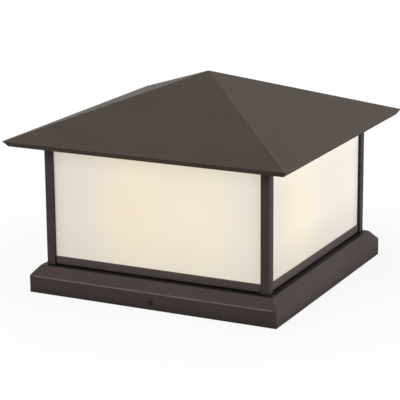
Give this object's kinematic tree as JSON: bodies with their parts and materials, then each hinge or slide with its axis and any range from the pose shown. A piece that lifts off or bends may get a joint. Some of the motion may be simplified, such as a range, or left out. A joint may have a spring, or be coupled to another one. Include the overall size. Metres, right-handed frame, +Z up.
{
  "type": "outdoor post light",
  "caption": "Low square outdoor light for a post or pier, with a hipped roof, etched panes in a metal cage, a chamfered base and lamps on a tray inside.",
  "frame": {"origin": "middle of the underside, which stands on the post or pier", "axes": "+Z up, -Y towards the front in the picture, +X towards the side that shows at its right"},
  "size_m": [0.406, 0.406, 0.2852],
  "materials": {
    "bronze_powder_coat": "fine matte powder coat in dark bronze on steel",
    "etched_pane_glass": "acid etched inside, glows evenly with the lamps on",
    "opal_lamp_glass": "opal",
    "zinc_plated_steel": "bright zinc plate",
    "black_steel": "blackened",
    "white_painted_steel": "white reflector paint",
    "green_painted_steel": "green",
    "brass": "plain rolled",
    "white_porcelain": "glazed porcelain",
    "black_glass_insulator": "black vitrite",
    "ivory_plastic": "moulded",
    "lead_insulation": "silicone sleeving",
    "foam_rubber": "closed cell foam"
  },
  "bodies": {
    "pier_mount": {"pier_gasket": "foam_rubber", "mounting_plate": "zinc_plated_steel", "tray_standoffs": "zinc_plated_steel", "lamp_tray": "white_painted_steel", "tray_nuts": "zinc_plated_steel", "left_lamp_holder": "white_porcelain", "right_lamp_holder": "white_porcelain", "left_screw_shell": "brass", "right_screw_shell": "brass", "centre_contacts": "brass", "holder_screws": "zinc_plated_steel", "terminal_block": "ivory_plastic", "lamp_leads": "lead_insulation", "earth_screw": "green_painted_steel"},
    "left_lamp": {"left_lamp_bulb": "opal_lamp_glass", "left_lamp_cap": "brass", "left_lamp_insulator": "black_glass_insulator", "left_lamp_tip": "zinc_plated_steel"},
    "right_lamp": {"right_lamp_bulb": "opal_lamp_glass", "right_lamp_cap": "brass", "right_lamp_insulator": "black_glass_insulator", "right_lamp_tip": "zinc_plated_steel"},
    "housing": {"base_skirt": "bronze_powder_coat", "base_screws": "black_steel", "front_left_post": "bronze_powder_coat", "front_right_post": "bronze_powder_coat", "rear_right_post": "bronze_powder_coat", "rear_left_post": "bronze_powder_coat", "front_bottom_rail": "bronze_powder_coat", "right_bottom_rail": "bronze_powder_coat", "rear_bottom_rail": "bronze_powder_coat", "left_bottom_rail": "bronze_powder_coat", "front_top_rail": "bronze_powder_coat", "right_top_rail": "bronze_powder_coat", "rear_top_rail": "bronze_powder_coat", "left_top_rail": "bronze_powder_coat", "front_pane": "etched_pane_glass", "right_pane": "etched_pane_glass", "rear_pane": "etched_pane_glass", "left_pane": "etched_pane_glass", "glass_clips": "zinc_plated_steel", "clip_screws": "zinc_plated_steel", "foot_screws": "zinc_plated_steel", "roof_seal": "foam_rubber", "roof_ring": "bronze_powder_coat", "roof_screws": "zinc_plated_steel", "roof_cap": "bronze_powder_coat"}
  },
  "joints": [
    {"name": "housing_lift", "type": "slide", "parent": "pier_mount", "child": "housing", "axis": [0, 0, 1], "range_m": [0, 0.165]},
    {"name": "left_lamp_turn", "type": "hinge", "parent": "pier_mount", "child": "left_lamp", "pos_m": [-0.052, 0, 0.09], "axis": [0, 0, 1], "range_deg": [0, 1440]},
    {"name": "right_lamp_turn", "type": "hinge", "parent": "pier_mount", "child": "right_lamp", "pos_m": [0.052, 0, 0.09], "axis": [0, 0, 1], "range_deg": [0, 1440]}
  ]
}
